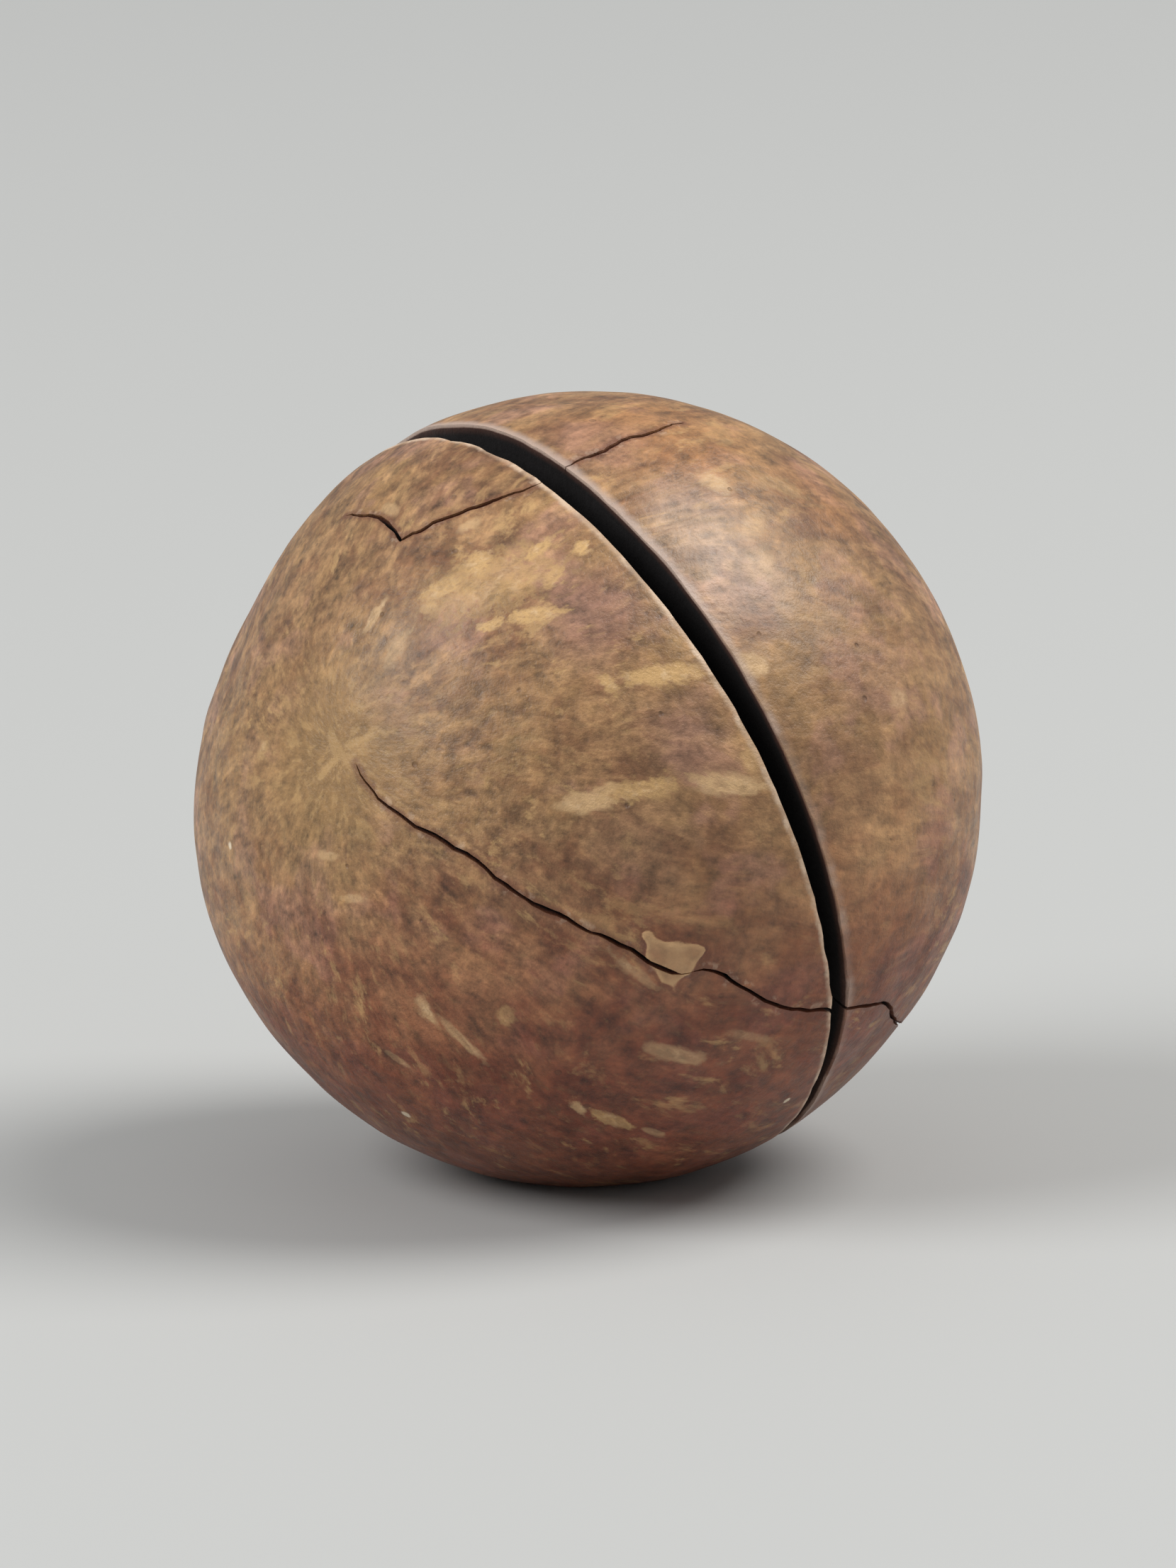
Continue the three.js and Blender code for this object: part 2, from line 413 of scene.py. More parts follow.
def split_finer(ob, chosen):
    """Splits the faces between the chosen points in four."""
    bpy.ops.object.mode_set(mode="EDIT")
    bpy.ops.mesh.select_mode(type="VERT")
    bpy.ops.mesh.select_all(action="DESELECT")
    mesh = bmesh.from_edit_mesh(ob.data)
    mesh.verts.ensure_lookup_table()
    for i in np.flatnonzero(chosen):
        mesh.verts[i].select_set(True)
    mesh.select_flush(True)
    bmesh.update_edit_mesh(ob.data)
    bpy.ops.mesh.subdivide(number_cuts=1)
    bpy.ops.mesh.select_all(action="SELECT")
    bpy.ops.mesh.quads_convert_to_tris()
    bpy.ops.object.mode_set(mode="OBJECT")


def ball():
    """The whole shell before it is cut, with a finer mesh where there is more to show."""
    bpy.ops.object.select_all(action="DESELECT")
    bpy.ops.mesh.primitive_ico_sphere_add(subdivisions=BALL_SUBDIVISIONS, radius=1, location=(0, 0, 0))
    ob = alone(bpy.context.object)
    ob.name = "nut_shell"
    d = unit(points_of(ob))
    split_finer(ob, (np.minimum(crack_distances(d)[0], saw_distance(d)) < FINE_WITHIN)
                | (reach(d, SCAR) < FINE_AT_SCAR) | (reach(d, PORE) < FINE_AT_PORE))
    d = unit(points_of(ob))
    split_finer(ob, reach(d, seen_at(*CHIP_MIDDLE)) < FINE_AT_CHIP)
    d = unit(points_of(ob))
    set_points(ob, d * (shell_radius(d) + relief(d))[:, None])
    return ob


def flatten_foot(ob):
    """Cuts the shell off level where it rests."""
    alone(ob)
    bpy.ops.object.mode_set(mode="EDIT")
    bpy.ops.mesh.select_all(action="SELECT")
    bpy.ops.mesh.bisect(
        plane_co=(0, 0, flat_height()), plane_no=(0, 0, 1), use_fill=True, clear_inner=True, threshold=1e-5
    )
    bpy.ops.object.mode_set(mode="OBJECT")


def keep_number(ob, name, values):
    """Keeps one number for each point on the mesh, for the material to read."""
    ob.data.attributes.new(name, "FLOAT", "POINT").data.foreach_set("value", values.astype(np.float32))


def note_places(ob):
    """Keeps how far each point lies under the surface, from a crack and inside the chip, in millimetres."""
    co = points_of(ob)
    length = np.linalg.norm(co, axis=1)
    d = co / length[:, None]
    depth = shell_radius(d) + relief(d) - length
    depth[co[:, 2] < flat_height() + 1e-3] = 0
    keep_number(ob, "depth", depth)
    keep_number(ob, "crack_reach", crack_distances(d)[0])
    keep_number(ob, "chip_inside", chip_inside(d))


def to_frame(ob, centre):
    """Brings the shell from millimetres about its centre to metres in the part's frame."""
    alone(ob)
    ob.scale = (MM, MM, MM)
    ob.location = centre
    bpy.ops.object.transform_apply(location=True, rotation=True, scale=True)


def shell_centre(ob):
    """Where the ball's centre is in the part's frame, so that it fills the solid's own box."""
    co = points_of(ob)
    low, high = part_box("nut")
    middle = (low + high) / 2
    offset = (co.min(axis=0) + co.max(axis=0)) / 2 * MM
    return Vector((middle.x - offset[0], middle.y - offset[1], low.z - flat_height() * MM))


def make_shell():
    ob = ball()
    flatten_foot(ob)
    centre = shell_centre(ob)
    cut_away(ob, saw_cutter())
    for crack in crack_lines:
        cut_away(ob, crack.cutter())
    note_places(ob)
    to_frame(ob, centre)
    alone(ob)
    bpy.ops.object.shade_smooth_by_angle(angle=math.radians(50))
    return ob, centre


def linear(red, green, blue):
    """A colour given in the usual 0 to 255 as the shader's linear one."""
    out = []
    for value in (red, green, blue):
        c = value / 255
        out.append(c / 12.92 if c <= 0.04045 else ((c + 0.055) / 1.055) ** 2.4)
    return (*out, 1)


class Socket:
    """One output of a node, which Python's own signs work on."""

    def __init__(self, tree, link=None):
        self.tree = tree
        self.link = link

    def node(self, kind, settings=None, inputs=None, out=0):
        """Adds a node: settings are its properties, inputs its sockets by name or number."""
        made = self.tree.nodes.new(kind)
        for name, value in (settings or {}).items():
            setattr(made, name, value)
        for name, value in (inputs or {}).items():
            if isinstance(value, Socket):
                self.tree.links.new(value.link, made.inputs[name])
            else:
                made.inputs[name].default_value = value
        return Socket(self.tree, made.outputs[out])

    def math(self, operation, *values):
        return self.node("ShaderNodeMath", {"operation": operation}, dict(enumerate(values)))

    def vector(self, operation, *values, out=0):
        return self.node("ShaderNodeVectorMath", {"operation": operation}, dict(enumerate(values)), out)

    def __add__(self, other):
        return self.math("ADD", self, other)

    __radd__ = __add__

    def __sub__(self, other):
        return self.math("SUBTRACT", self, other)

    def __rsub__(self, other):
        return self.math("SUBTRACT", other, self)

    def __mul__(self, other):
        return self.math("MULTIPLY", self, other)

    __rmul__ = __mul__

    def __truediv__(self, other):
        return self.math("DIVIDE", self, other)

    def __rtruediv__(self, other):
        return self.math("DIVIDE", other, self)

    def __pow__(self, other):
        return self.math("POWER", self, other)

    def __abs__(self):
        return self.math("ABSOLUTE", self)

    def most(self, other):
        return self.math("MAXIMUM", self, other)

    def least(self, other):
        return self.math("MINIMUM", self, other)

    def step(self, low, high):
        """0 under low, 1 over high and smooth between them; low may be the larger."""
        if low > high:
            return 1 - self.step(high, low)
        return self.node("ShaderNodeMapRange", {"interpolation_type": "SMOOTHSTEP"},
                         {"Value": self, "From Min": low, "From Max": high})

    def dot(self, direction):
        return self.vector("DOT_PRODUCT", self, tuple(direction), out=1)

    def times(self, by):
        """This colour or vector times a number, a colour or another link."""
        return self.vector("MULTIPLY", self, by if isinstance(by, (Socket, tuple)) else (by,) * 3)

    def plus(self, other):
        return self.vector("ADD", self, other)

    def elsewhere(self, seed):
        """The same coordinates moved well away, so that one pattern doesn't repeat another."""
        return self.plus(tuple(np.random.default_rng(seed).uniform(-60, 60, 3)))

    def noise(self, scale, detail=3, roughness=0.55, out=0):
        return self.node("ShaderNodeTexNoise", {"noise_dimensions": "3D"},
                         {"Vector": self, "Scale": scale, "Detail": detail, "Roughness": roughness}, out)

    def cells(self, scale, out=0):
        return self.node("ShaderNodeTexVoronoi", {"voronoi_dimensions": "3D"}, {"Vector": self, "Scale": scale}, out)

    def parts(self, out):
        """One of a colour's three numbers."""
        return self.node("ShaderNodeSeparateColor", inputs={0: self}, out=out)

    def blend(self, other, amount):
        """This colour turning into another as amount goes from 0 to 1."""
        return self.node("ShaderNodeMix", {"data_type": "RGBA", "clamp_factor": True},
                         {0: amount, 6: self, 7: other}, out=2)


# The shell's colours
TAUPE = linear(154, 116, 80)
WARM = linear(180, 140, 97)
ROSE = linear(166, 124, 101)
UMBER = linear(112, 75, 50)
# Russet, used towards the bottom partly as the shell's own tone and partly as painted shade
RUSSET_AND_SHADE = linear(97, 52, 34)
# Orange painted bounce light over the top of the shell
PAINTED_BOUNCE_ORANGE = linear(172, 118, 70)
OLIVE = linear(155, 120, 76)
MOSS = linear(136, 103, 60)
MAUVE = linear(138, 101, 84)
GOLD = linear(207, 167, 112)
PALE_TAN = linear(216, 178, 130)
STRAW = linear(232, 202, 162)
# Pale pinkish bloom, partly a painted sheen where the upper right catches the light
PALE_BLOOM_AND_SHEEN = linear(204, 180, 163)
CREAM = linear(232, 214, 186)
CHIP_TAN = linear(198, 158, 114)
# How the lower part turns redder and darker, partly its own tone and partly painted shade: times red, green and blue
REDDER_AND_SHADED = (1.05, 0.72, 0.72)
CRACK_RED = linear(104, 60, 42)
WALL_BROWN = linear(58, 36, 28)
PIT_BROWN = linear(86, 58, 42)
LIP_TAN = linear(222, 194, 166)
LIP_GREY = linear(188, 166, 152)
# Near-black painted shade deep in the saw cut
CUT_SHADE_BLACK = linear(13, 8, 8)

# How many times finer the shell's grain is than the unit ball, across it and along it
GRAIN_ACROSS = 17
GRAIN_ALONG = 6

# Marks that can be told apart, as seen from the front: where (mm right and up), half length,
# half width, how many degrees they rise to the right, and strength
GOLD_MARKS = [
    (-2.85, 6.4, 2.3, 1.25, 24, 0.55),
    (-3.3, 6.95, 0.65, 0.55, 60, 0.9),
    (-4.35, 6.2, 0.85, 0.38, 22, 0.85),
    (-4.75, 5.6, 0.35, 0.22, 30, 0.7),
    (-1.45, 7.45, 0.8, 0.26, 40, 0.9),
    (-1.0, 6.6, 0.55, 0.38, 60, 0.75),
    (-2.95, 5.05, 0.55, 0.22, 22, 1.0),
    (-1.6, 5.4, 0.9, 0.28, 8, 1.0),
    (-0.09, 7.52, 0.36, 0.28, 60, 1.0),
    (2.35, 3.55, 1.5, 0.36, 5, 0.95),
    (0.69, 3.28, 0.42, 0.3, -30, 0.8),
    (1.66, 0.04, 1.3, 0.34, 10, 0.85),
    (5.04, 0.94, 0.5, 0.28, 95, 0.5),
    (5.9, 9.4, 1.0, 0.5, -20, 0.35),
    (-2.43, -6.88, 0.4, 0.3, 80, 0.5),
    (0.8, -10.25, 0.95, 0.26, -20, 0.8),
    (-10.0, 1.3, 0.5, 0.26, 60, 0.5),
]
PALE_MARKS_AND_SHEEN = [
    (0.0, -0.37, 0.9, 0.32, 4, 1.0),
    (0.5, -0.05, 0.6, 0.24, 24, 0.6),
    (4.42, 0.18, 1.35, 0.36, -4, 0.9),
    (4.2, 0.2, 0.4, 0.24, 0, 0.6),
    (5.22, 3.87, 0.6, 0.38, -20, 0.9),
    (4.0, 9.5, 0.65, 0.42, -25, 0.7),
    # The next two are painted highlight: whitish patches in the sheen right of the cut
    (5.4, 7.0, 0.8, 0.6, 60, 0.4),
    (5.2, 8.2, 0.7, 0.45, 30, 0.35),
    (-6.4, 5.4, 0.7, 0.22, 56, 0.75),
    (-5.8, 4.3, 0.7, 0.34, 60, 0.45),
    (-3.6, 8.15, 0.45, 0.26, 30, 0.6),
    (-6.05, 8.7, 0.6, 0.24, -30, 0.5),
    (-7.9, -2.0, 0.5, 0.17, -5, 0.55),
    (-7.1, -3.3, 0.6, 0.16, 0, 0.5),
    (1.45, -5.5, 1.0, 0.2, -39, 0.4),
    (-4.85, -6.75, 0.65, 0.25, -58, 0.65),
    (-3.75, -7.65, 1.15, 0.21, -42, 0.55),
    (-5.75, -8.33, 0.5, 0.16, -35, 0.4),
    (-0.2, -9.85, 0.5, 0.2, -50, 0.7),
    (2.1, -10.62, 0.6, 0.16, -15, 0.5),
    (2.8, -8.15, 1.3, 0.3, -16, 0.6),
    (5.0, -7.6, 0.9, 0.2, -10, 0.25),
    (9.6, 2.8, 0.5, 0.34, 20, 0.5),
]
# The same on the sides that the front hides: where (degrees round and above level), half length,
# half width, how many degrees they are turned from the grain, and strength
BACK_MARKS = [
    (20, 20, 2.0, 0.9, 10, 0.32),
    (24, 24, 1.0, 0.3, 16, 0.6),
    (15, 17, 1.2, 0.35, 6, 0.5),
    (8, -12, 1.4, 0.26, -6, 0.6),
    (52, 52, 1.0, 0.3, 10, 0.7),
    (76, 8, 1.6, 0.3, 4, 0.8),
    (72, 3, 0.7, 0.24, -6, 0.7),
    (84, 44, 1.5, 0.8, 20, 0.45),
    (90, 40, 0.9, 0.3, 12, 0.85),
    (106, 22, 1.2, 0.3, 14, 0.8),
    (112, -14, 1.3, 0.3, -8, 0.8),
    (100, -30, 1.0, 0.18, 10, 0.7),
    (122, 36, 0.6, 0.24, -10, 0.7),
    (130, 4, 1.3, 0.5, 8, 0.5),
    (133, 6, 0.7, 0.2, 16, 0.85),
    (172, 34, 1.4, 0.34, 10, 0.7),
    (180, -8, 0.9, 0.22, 4, 0.7),
    (166, -14, 0.5, 0.2, -20, 0.6),
    (140, -44, 1.2, 0.24, 12, 0.6),
]
# Pale lines that cross on the stalk scar: where, half length, half width, how far they rise, strength
SCAR_LINES = [
    (-6.9, 1.5, 0.75, 0.17, 23, 0.5),
    (-7.9, 0.7, 0.75, 0.17, 48, 0.55),
    (-7.5, 1.15, 0.8, 0.16, -62, 0.42),
    (-7.75, 1.4, 0.7, 0.16, 100, 0.42),
    (-7.1, 0.95, 0.55, 0.15, -25, 0.4),
]
# Small white specks: dust, except the third, low on the left, which is a painted highlight: where, and their radius
SPECKS_AND_GLINT = [(-11.15, -1.75, 0.15), (-1.75, -3.97, 0.13), (-5.6, -10.1, 0.17), (6.3, -9.7, 0.13)]

# Broad tints, a few of them painted light: where, how far from there it starts and is full, colour and strength
TINTS = [
    # Painted warm bounce light over the top
    (seen_at(2.6, 11.0), 4.4, 1.0, PAINTED_BOUNCE_ORANGE, 0.45),
    (seen_at(0.4, 10.6), 2.6, 0.6, MAUVE, 0.35),
    (SCAR, 3.6, 0.8, MOSS, 0.6),
    (seen_at(-5.6, -6.2), 3.2, 1.0, WARM, 0.35),
    # Painted warm bounce light on the upper right rim
    (seen_at(7.2, 9.0), 2.4, 0.6, PAINTED_BOUNCE_ORANGE, 0.4),
    # Partly painted sheen: pale bloom where the highlight falls, right of the cut
    (seen_at(3.2, 8.4), 2.4, 0.6, PALE_BLOOM_AND_SHEEN, 0.3),
    (seen_at(4.8, 6.4), 2.4, 0.6, PALE_BLOOM_AND_SHEEN, 0.3),
    (seen_at(-9.0, 1.5), 6.5, 1.5, OLIVE, 0.45),
    (seen_at(-2.5, 1.5), 4.0, 1.0, OLIVE, 0.25),
    (seen_at(0.1, 5.4), 2.3, 0.5, MAUVE, 0.75),
    (seen_at(3.0, 1.8), 2.0, 0.5, MAUVE, 0.5),
    (seen_at(1.5, -1.8), 2.2, 0.6, MAUVE, 0.3),
    (seen_at(8.8, -3.4), 3.8, 1.0, WARM, 0.5),
    (bearing(60, 30), 5.5, 1.5, ROSE, 0.35),
    (bearing(120, 10), 6.0, 1.5, OLIVE, 0.4),
]


class Shell:
    """The coordinates and noises that all the shell's finishes are drawn with."""

    def __init__(self, tree, centre):
        start = Socket(tree)
        coordinates = start.node("ShaderNodeTexCoord", out=3)
        self.place = coordinates.vector("SUBTRACT", coordinates, tuple(centre)).times(1 / MM)
        self.d = self.place.vector("NORMALIZE", self.place)
        self.depth = start.node("ShaderNodeAttribute", {"attribute_name": "depth"}, out=2)
        self.crack_reach = start.node("ShaderNodeAttribute", {"attribute_name": "crack_reach"}, out=2)
        self.chip_inside = start.node("ShaderNodeAttribute", {"attribute_name": "chip_inside"}, out=2)
        self.outside = self.depth.step(0.05, 0.02)

        # The grain runs from the scar to the pore, so it is read off a cylinder about that axis.
        lift = self.d.dot(SCAR)
        self.polar = lift.math("ARCCOSINE", lift)
        girth_squared = (1 - lift * lift).most(0.0001)
        taper = girth_squared ** 0.25
        stray = self.place.noise(0.16, 2, out=1).plus((-0.5, -0.5, -0.5)).times(3.2)
        self.grain = start.node("ShaderNodeCombineXYZ", inputs={
            0: self.d.dot(SCAR_ACROSS) / taper * GRAIN_ACROSS,
            1: self.d.dot(SCAR_UP) / taper * GRAIN_ACROSS,
            2: self.polar * GRAIN_ALONG,
        }).plus(stray)
        self.clear_of_ends = (girth_squared ** 0.5).step(0.05, 0.3)

        self.blotch = self.place.elsewhere(1).noise(0.55, 4, 0.6)
        self.fibre = self.grain.elsewhere(2).noise(0.85, 4, 0.62)
        self.short_fibre = self.grain.elsewhere(3).noise(2.1, 3, 0.6)
        self.fine = self.place.elsewhere(4).noise(2.6, 4, 0.65)
        self.speckle = self.place.elsewhere(5).noise(0.95, 5, 0.78)
        self.ragged = (self.short_fibre - 0.5) * 2.4 + (self.fine - 0.5) * 1.6
        self.calm = self.d.dot(seen_at(8.6, 0.5)).step(0.72, 0.94)

    def mark(self, at, along, half_length, half_width, ragged=1):
        """A ragged oblong mark at a place, long in the direction along."""
        side = np.cross(at, along)
        u = self.d.dot(along) * (RADIUS / half_length)
        v = self.d.dot(side) * (RADIUS / half_width)
        behind = self.d.dot(at).step(0.8, 0.5)
        size = (u * u + v * v + behind * 50) ** 0.5
        return (size + self.ragged * ragged).step(1.2, 0.5)

    def front_marks(self, marks, ragged=1):
        """Marks given as they are seen from the front, all in one mask."""
        masks = []
        for right, up, half_length, half_width, rise, strength in marks:
            at = seen_at(right, up)
            along = math.cos(math.radians(rise)) * RIGHT + math.sin(math.radians(rise)) * UP
            along = unit(along - FRONT * along.dot(at) / FRONT.dot(at))
            masks.append(self.mark(at, along, half_length, half_width, ragged) * strength)
        return most_of(masks)

    def back_marks(self, marks):
        """Marks given by their bearings and their turn from the grain, all in one mask."""
        masks = []
        for around, above, half_length, half_width, turn, strength in marks:
            at = bearing(around, above)
            grain = unit(at * at.dot(SCAR) - SCAR)
            along = math.cos(math.radians(turn)) * grain + math.sin(math.radians(turn)) * np.cross(at, grain)
            masks.append(self.mark(at, along, half_length, half_width) * strength)
        return most_of(masks)

    def near(self, at, start, full, ragged=1.6):
        """1 within full millimetres of a place, falling to 0 at start, with an uneven edge."""
        away = (self.d.vector("DISTANCE", self.d, tuple(at), out=1) * RADIUS + (self.blotch - 0.5) * ragged)
        return away.step(start, full)


def most_of(masks):
    top = masks[0]
    for mask in masks[1:]:
        top = top.most(mask)
    return top


def ground_colour(shell):
    """Taupe and umber patches, olive and rose drifts, redder and darker low down (partly painted shade), with a fine
    uneven value.
    """
    place, fibre = shell.place, shell.fibre
    colour = shell.place.node("ShaderNodeMix", {"data_type": "RGBA", "clamp_factor": True},
                              {0: shell.blotch.step(0.4, 0.64) * (0.85 - shell.calm * 0.4), 6: TAUPE, 7: UMBER},
                              out=2)
    colour = colour.blend(OLIVE, place.elsewhere(6).noise(0.13, 3, 0.5).step(0.46, 0.62) * 0.5)
    colour = colour.blend(OLIVE, place.elsewhere(16).noise(0.5, 2, 0.5).step(0.5, 0.6) * 0.3)
    colour = colour.blend(ROSE, place.elsewhere(7).noise(0.4, 3, 0.5).step(0.52, 0.62) * 0.6)
    # Smears a millimetre or so across, longer with the grain
    colour = colour.blend(WARM, shell.grain.elsewhere(19).noise(0.6, 2, 0.5).step(0.54, 0.62) * 0.42)
    smears = shell.grain.elsewhere(20).noise(0.55, 2, 0.5).step(0.54, 0.63)
    colour = colour.blend(UMBER, smears * (0.42 - shell.calm * 0.12))
    colour = colour.blend(WARM, fibre.step(0.52, 0.7) * 0.5)
    colour = colour.blend(UMBER, fibre.step(0.47, 0.33) * (0.55 - shell.calm * 0.3))
    for at, start, full, tint, strength in TINTS:
        colour = colour.blend(tint, shell.near(at, start, full) * strength)
    # Redder and darker towards the bottom: partly the shell's own tone, partly painted shade
    low = (shell.d.dot(unit(0.1 * RIGHT - UP)) + (shell.blotch - 0.5) * 0.5).step(0.02, 0.78)
    colour = colour.blend(RUSSET_AND_SHADE, low * 0.66)
    colour = colour.blend(colour.times(REDDER_AND_SHADED), low)
    value = (1 + (shell.speckle - 0.5) * (2.2 - shell.calm * 0.8)
             + (shell.short_fibre - 0.5) * (1.3 - shell.calm * 0.4) + (shell.fine - 0.5) * 1.1)
    return colour.times(value)


def gold_flecks(shell):
    """How much gold shows in the loose flecks and dashes that follow the grain."""
    cluster = 0.4 + shell.place.elsewhere(8).noise(0.24, 2).step(0.42, 0.62) * 0.6
    large = shell.grain.elsewhere(9).noise(0.5, 5, 0.68).step(0.57, 0.68) * 0.55
    medium = shell.grain.elsewhere(10).noise(1.1, 4, 0.65).step(0.57, 0.7) * 0.5
    small = shell.grain.elsewhere(11).noise(2.4, 3, 0.6).step(0.56, 0.74) * 0.18
    return most_of([large, medium, small]) * cluster * shell.clear_of_ends * (1 - shell.calm * 0.5)


def dark_flecks(shell):
    return shell.grain.elsewhere(12).noise(1.5, 3, 0.6).step(0.57, 0.72) * shell.clear_of_ends * 0.45


def scar_star(shell):
    """The pale lines that cross on the scar, and short strokes that run out from it."""
    strokes = shell.grain.elsewhere(13).noise(0.9, 3, 0.6).step(0.5, 0.66) * shell.polar.step(0.4, 0.12)
    return shell.front_marks(SCAR_LINES, 0.8).most(strokes * 0.35)


def pits(shell):
    """Small pits, each of its own size, in some of the cells of a loose pattern."""
    cells = shell.place.elsewhere(14).cells(0.95)
    kind = shell.place.elsewhere(14).cells(0.95, out=1)
    size = 0.03 + kind.parts(1) * 0.09 + (shell.fine - 0.5) * 0.12
    return (size - cells).step(-0.03, 0.04) * kind.parts(0).step(0.66, 0.68)


def paint_chip(shell, colour):
    """The raised chip: tan and a little streaked, paler along its broken edge, with a thin dark line round it: the
    crack at its lower left, painted shadow elsewhere.
    """
    inside = shell.chip_inside + (shell.fine - 0.5) * 0.12
    chip = inside.step(0, CHIP_EDGE) * shell.outside
    pale_edge = inside.step(0.28, 0.08)
    # Painted shadow round the raised chip's edge; at its lower left the line is the crack's own dark
    crack_and_shadow_line = abs(inside + 0.03).step(0.07, 0.02)
    colour = colour.blend(CHIP_TAN, chip * (0.5 + (shell.fibre - 0.5) * 1.4 + pale_edge * 0.3))
    return colour.blend(CRACK_RED, crack_and_shadow_line * 0.45)


def paint_cracks(shell, colour):
    """A stain and a few pale chips beside each crack, and its dark inside."""
    stain = (shell.crack_reach + (shell.fine - 0.5) * 0.4).step(0.28, 0.05) * shell.outside
    chips = (shell.crack_reach.step(0.34, 0.14) * shell.outside
             * shell.place.elsewhere(15).noise(2.2, 3, 0.6).step(0.55, 0.65))
    colour = colour.blend(LIP_TAN, chips * 0.35)
    colour = colour.blend(CRACK_RED, stain * 0.62)
    return colour.blend(CRACK_RED, shell.depth.step(0.03, 0.08))


def paint_cut(shell, colour):
    """The sawn walls, dark brown a little way in and painted near-black shade deeper down, and the pale crumbled
    lips.
    """
    angle = shell.place.math("ARCTAN2", shell.d.dot(SAW_ONWARD), shell.d.dot(SAW_NEAREST))
    half = (SAW_WIDE + angle.step(SAW_CLOSES_FROM, SAW_CLOSES_TO) * (SAW_NARROW - SAW_WIDE)) * 0.5
    middle, sweep = (SAW_START + SAW_END) / 2, (SAW_END - SAW_START) / 2
    reached = abs(angle - middle).step(sweep, sweep - 0.05)
    off = shell.place.dot(SAW)
    beside = abs(off) - half + (shell.fine - 0.5) * 0.24
    crumbled = 0.5 + shell.place.elsewhere(17).noise(1.1, 3, 0.65).step(0.42, 0.56) * 0.5
    left = off.step(0.1, -0.1) * reached * crumbled
    # The right lip is greyer, and rubbed pale over the upper half and here and there below it.
    rubbed = angle.step(0, -0.4).most(shell.place.elsewhere(18).noise(0.5, 3, 0.6).step(0.46, 0.6) * 0.5)
    right = off.step(-0.1, 0.1) * reached * (0.2 + rubbed * 0.6)
    colour = colour.blend(LIP_GREY, beside.step(0.42, 0.06) * right * shell.outside)
    colour = colour.blend(LIP_TAN, beside.step(0.3, 0.1) * left * 0.85 * shell.outside)
    in_cut = beside.step(0.26, 0.18) * reached
    chamfer = in_cut * shell.depth.step(0.004, 0.03) * shell.depth.step(0.13, 0.07)
    colour = colour.blend(LIP_GREY, chamfer * right)
    colour = colour.blend(LIP_TAN, chamfer * left * 0.85)
    colour = colour.blend(WALL_BROWN, in_cut * shell.depth.step(0.07, 0.13) * (0.7 + shell.short_fibre * 0.5))
    # Painted shade: the cut turns near black deeper in
    return colour.blend(CUT_SHADE_BLACK, shell.depth.step(0.11, 0.4))


def shell_material(centre):
    """The satin shell: mottled brown, gold flecks along the grain, dark cracks, and a dark cut painted near black
    with shade deep inside.
    """
    material = bpy.data.materials.new("macadamia_shell")
    material.use_nodes = True
    tree = material.node_tree
    tree.nodes.clear()
    shell = Shell(tree, centre)
    flecks, pit = gold_flecks(shell), pits(shell)
    streaky = 0.6 + shell.short_fibre.step(0.36, 0.58) * 0.4
    gold = shell.front_marks(GOLD_MARKS) * streaky
    # The pale marks include two painted highlight patches right of the cut
    pale = shell.front_marks(PALE_MARKS_AND_SHEEN, 0.7).most(shell.back_marks(BACK_MARKS)) * streaky

    colour = ground_colour(shell)
    colour = colour.blend(UMBER, dark_flecks(shell))
    colour = colour.blend(GOLD, flecks)
    colour = colour.blend(GOLD, gold)
    colour = colour.blend(PALE_TAN, pale)
    colour = colour.blend(STRAW, gold.most(pale) * shell.fine.step(0.5, 0.68) * 0.5)
    colour = colour.blend(OLIVE, shell.polar.step(0.3, 0.08) * 0.45)
    colour = colour.blend(GOLD, scar_star(shell))

    to_pore = (math.pi - shell.polar) * RADIUS + (shell.fine - 0.5) * 0.6
    colour = colour.blend(CREAM, to_pore.step(PORE_RADIUS * 1.3, PORE_RADIUS * 0.7) * 0.75)
    colour = colour.blend(PIT_BROWN, to_pore.step(PORE_RADIUS * 0.45, PORE_RADIUS * 0.15) * 0.85)
    # Pale specks of dust, and one painted highlight low on the left
    for right, up, radius in SPECKS_AND_GLINT:
        at = tuple(seen_at(right, up) * RADIUS)
        away = shell.place.vector("DISTANCE", shell.place, at, out=1) + (shell.fine - 0.5) * 0.2
        colour = colour.blend(CREAM, away.step(radius * 1.2, radius * 0.6) * 0.85)
    colour = colour.blend(PIT_BROWN, pit * 0.45)
    colour = paint_cracks(shell, colour)
    colour = paint_chip(shell, colour)
    colour = paint_cut(shell, colour)

    roughness = (0.5 + (shell.blotch - 0.5) * 0.3 + (shell.fine - 0.5) * 0.4 + flecks * 0.08
                 + shell.depth.step(0.03, 0.2) * 0.4)
    height = ((shell.fine - 0.5) * 0.042 + (shell.short_fibre - 0.5) * 0.026 - pit * 0.04 - flecks * 0.01
              + pale * 0.008 + (shell.speckle - 0.5) * 0.075)
    bump = shell.place.node("ShaderNodeBump", inputs={"Strength": 1.0, "Distance": MM, "Height": height})
    shader = shell.place.node("ShaderNodeBsdfPrincipled", inputs={
        "Base Color": colour,
        "Roughness": roughness,
        "Normal": bump,
        "IOR": 1.45,
        "Coat Weight": 0.12,
        "Coat Roughness": 0.34,
    })
    output = tree.nodes.new("ShaderNodeOutputMaterial")
    tree.links.new(shader.link, output.inputs["Surface"])
    return material


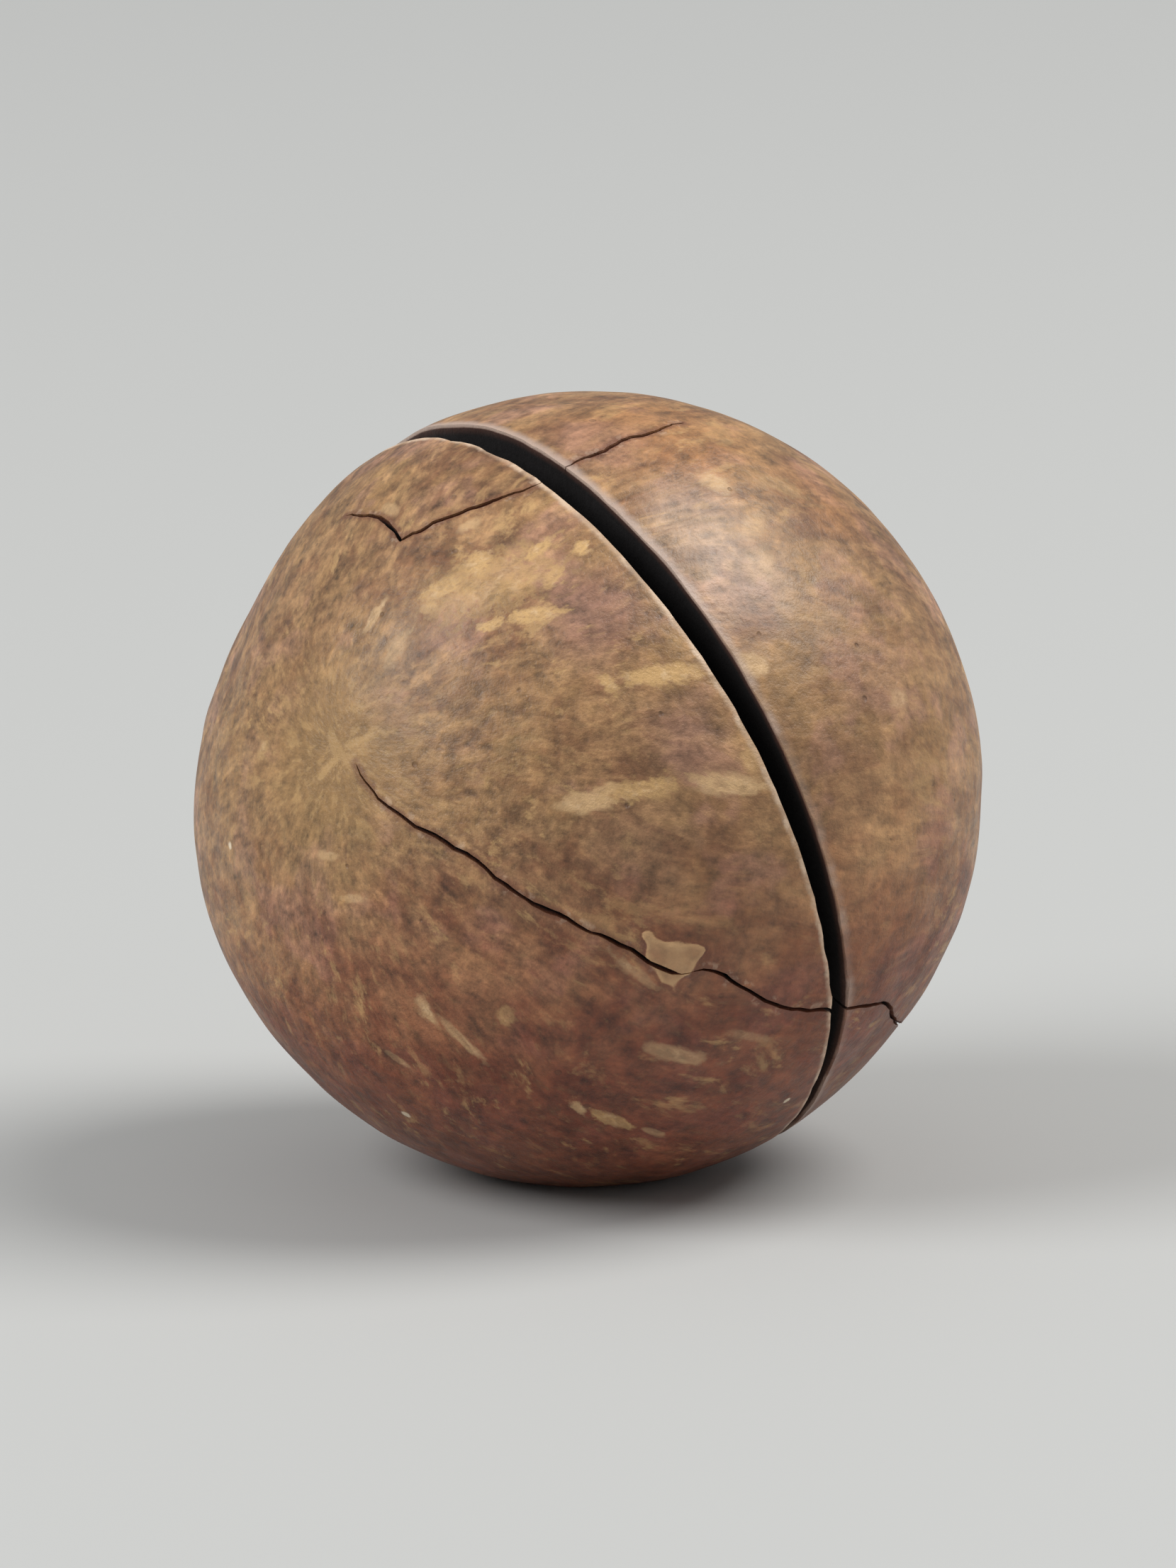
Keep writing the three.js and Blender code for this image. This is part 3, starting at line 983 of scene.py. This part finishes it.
def make_floor():
    bpy.ops.object.select_all(action="DESELECT")
    bpy.ops.mesh.primitive_plane_add(size=6, location=(0, 0, 0))
    floor = bpy.context.object
    floor.name = "floor"
    material = bpy.data.materials.new("pale_floor")
    material.use_nodes = True
    shader = material.node_tree.nodes["Principled BSDF"]
    shader.inputs["Base Color"].default_value = linear(185, 186, 184)
    shader.inputs["Roughness"].default_value = 0.7
    floor.data.materials.append(material)


def area_light(name, at, aim, size, watts, colour):
    data = bpy.data.lights.new(name, "AREA")
    data.shape = "DISK"
    data.size = size
    data.energy = watts
    data.color = colour
    light = bpy.data.objects.new(name, data)
    light.location = at
    light.rotation_euler = (Vector(aim) - Vector(at)).to_track_quat("-Z", "Y").to_euler()
    bpy.context.collection.objects.link(light)


def make_lights(middle):
    area_light("skylight", (0.35, 0.05, 0.51), middle, 0.4, 3.05, (1.0, 0.985, 0.97))
    area_light("window", (-0.56, -0.26, 0.48), middle, 0.5, 4.1, (0.98, 0.99, 1.0))
    world = bpy.data.worlds.new("soft_room")
    bpy.context.scene.world = world
    world.use_nodes = True
    background = world.node_tree.nodes["Background"]
    background.inputs["Color"].default_value = (0.97, 0.98, 1.0, 1)
    background.inputs["Strength"].default_value = 0.35


def make_camera(middle):
    data = bpy.data.cameras.new("camera")
    data.sensor_fit = "HORIZONTAL"
    data.sensor_width = SENSOR
    data.lens = SENSOR * CAMERA_DISTANCE / FRAME_WIDTH
    data.clip_start = 0.01
    camera = bpy.data.objects.new("camera", data)
    camera.location = Vector(middle) + Vector(FRONT) * CAMERA_DISTANCE
    camera.rotation_euler = (Vector(middle) - camera.location).to_track_quat("-Z", "Y").to_euler()
    bpy.context.collection.objects.link(camera)
    bpy.context.scene.camera = camera


low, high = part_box("nut")
middle = (low + high) / 2
make_camera(middle)
crack_lines = [Crack(*crack) for crack in CRACKS]
shell_piece, centre = make_shell()
shell_piece.data.materials.clear()
shell_piece.data.materials.append(shell_material(centre))
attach(shell_piece, "root")
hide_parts("nut")
make_floor()
make_lights(middle)
bpy.context.scene.view_settings.view_transform = "Standard"
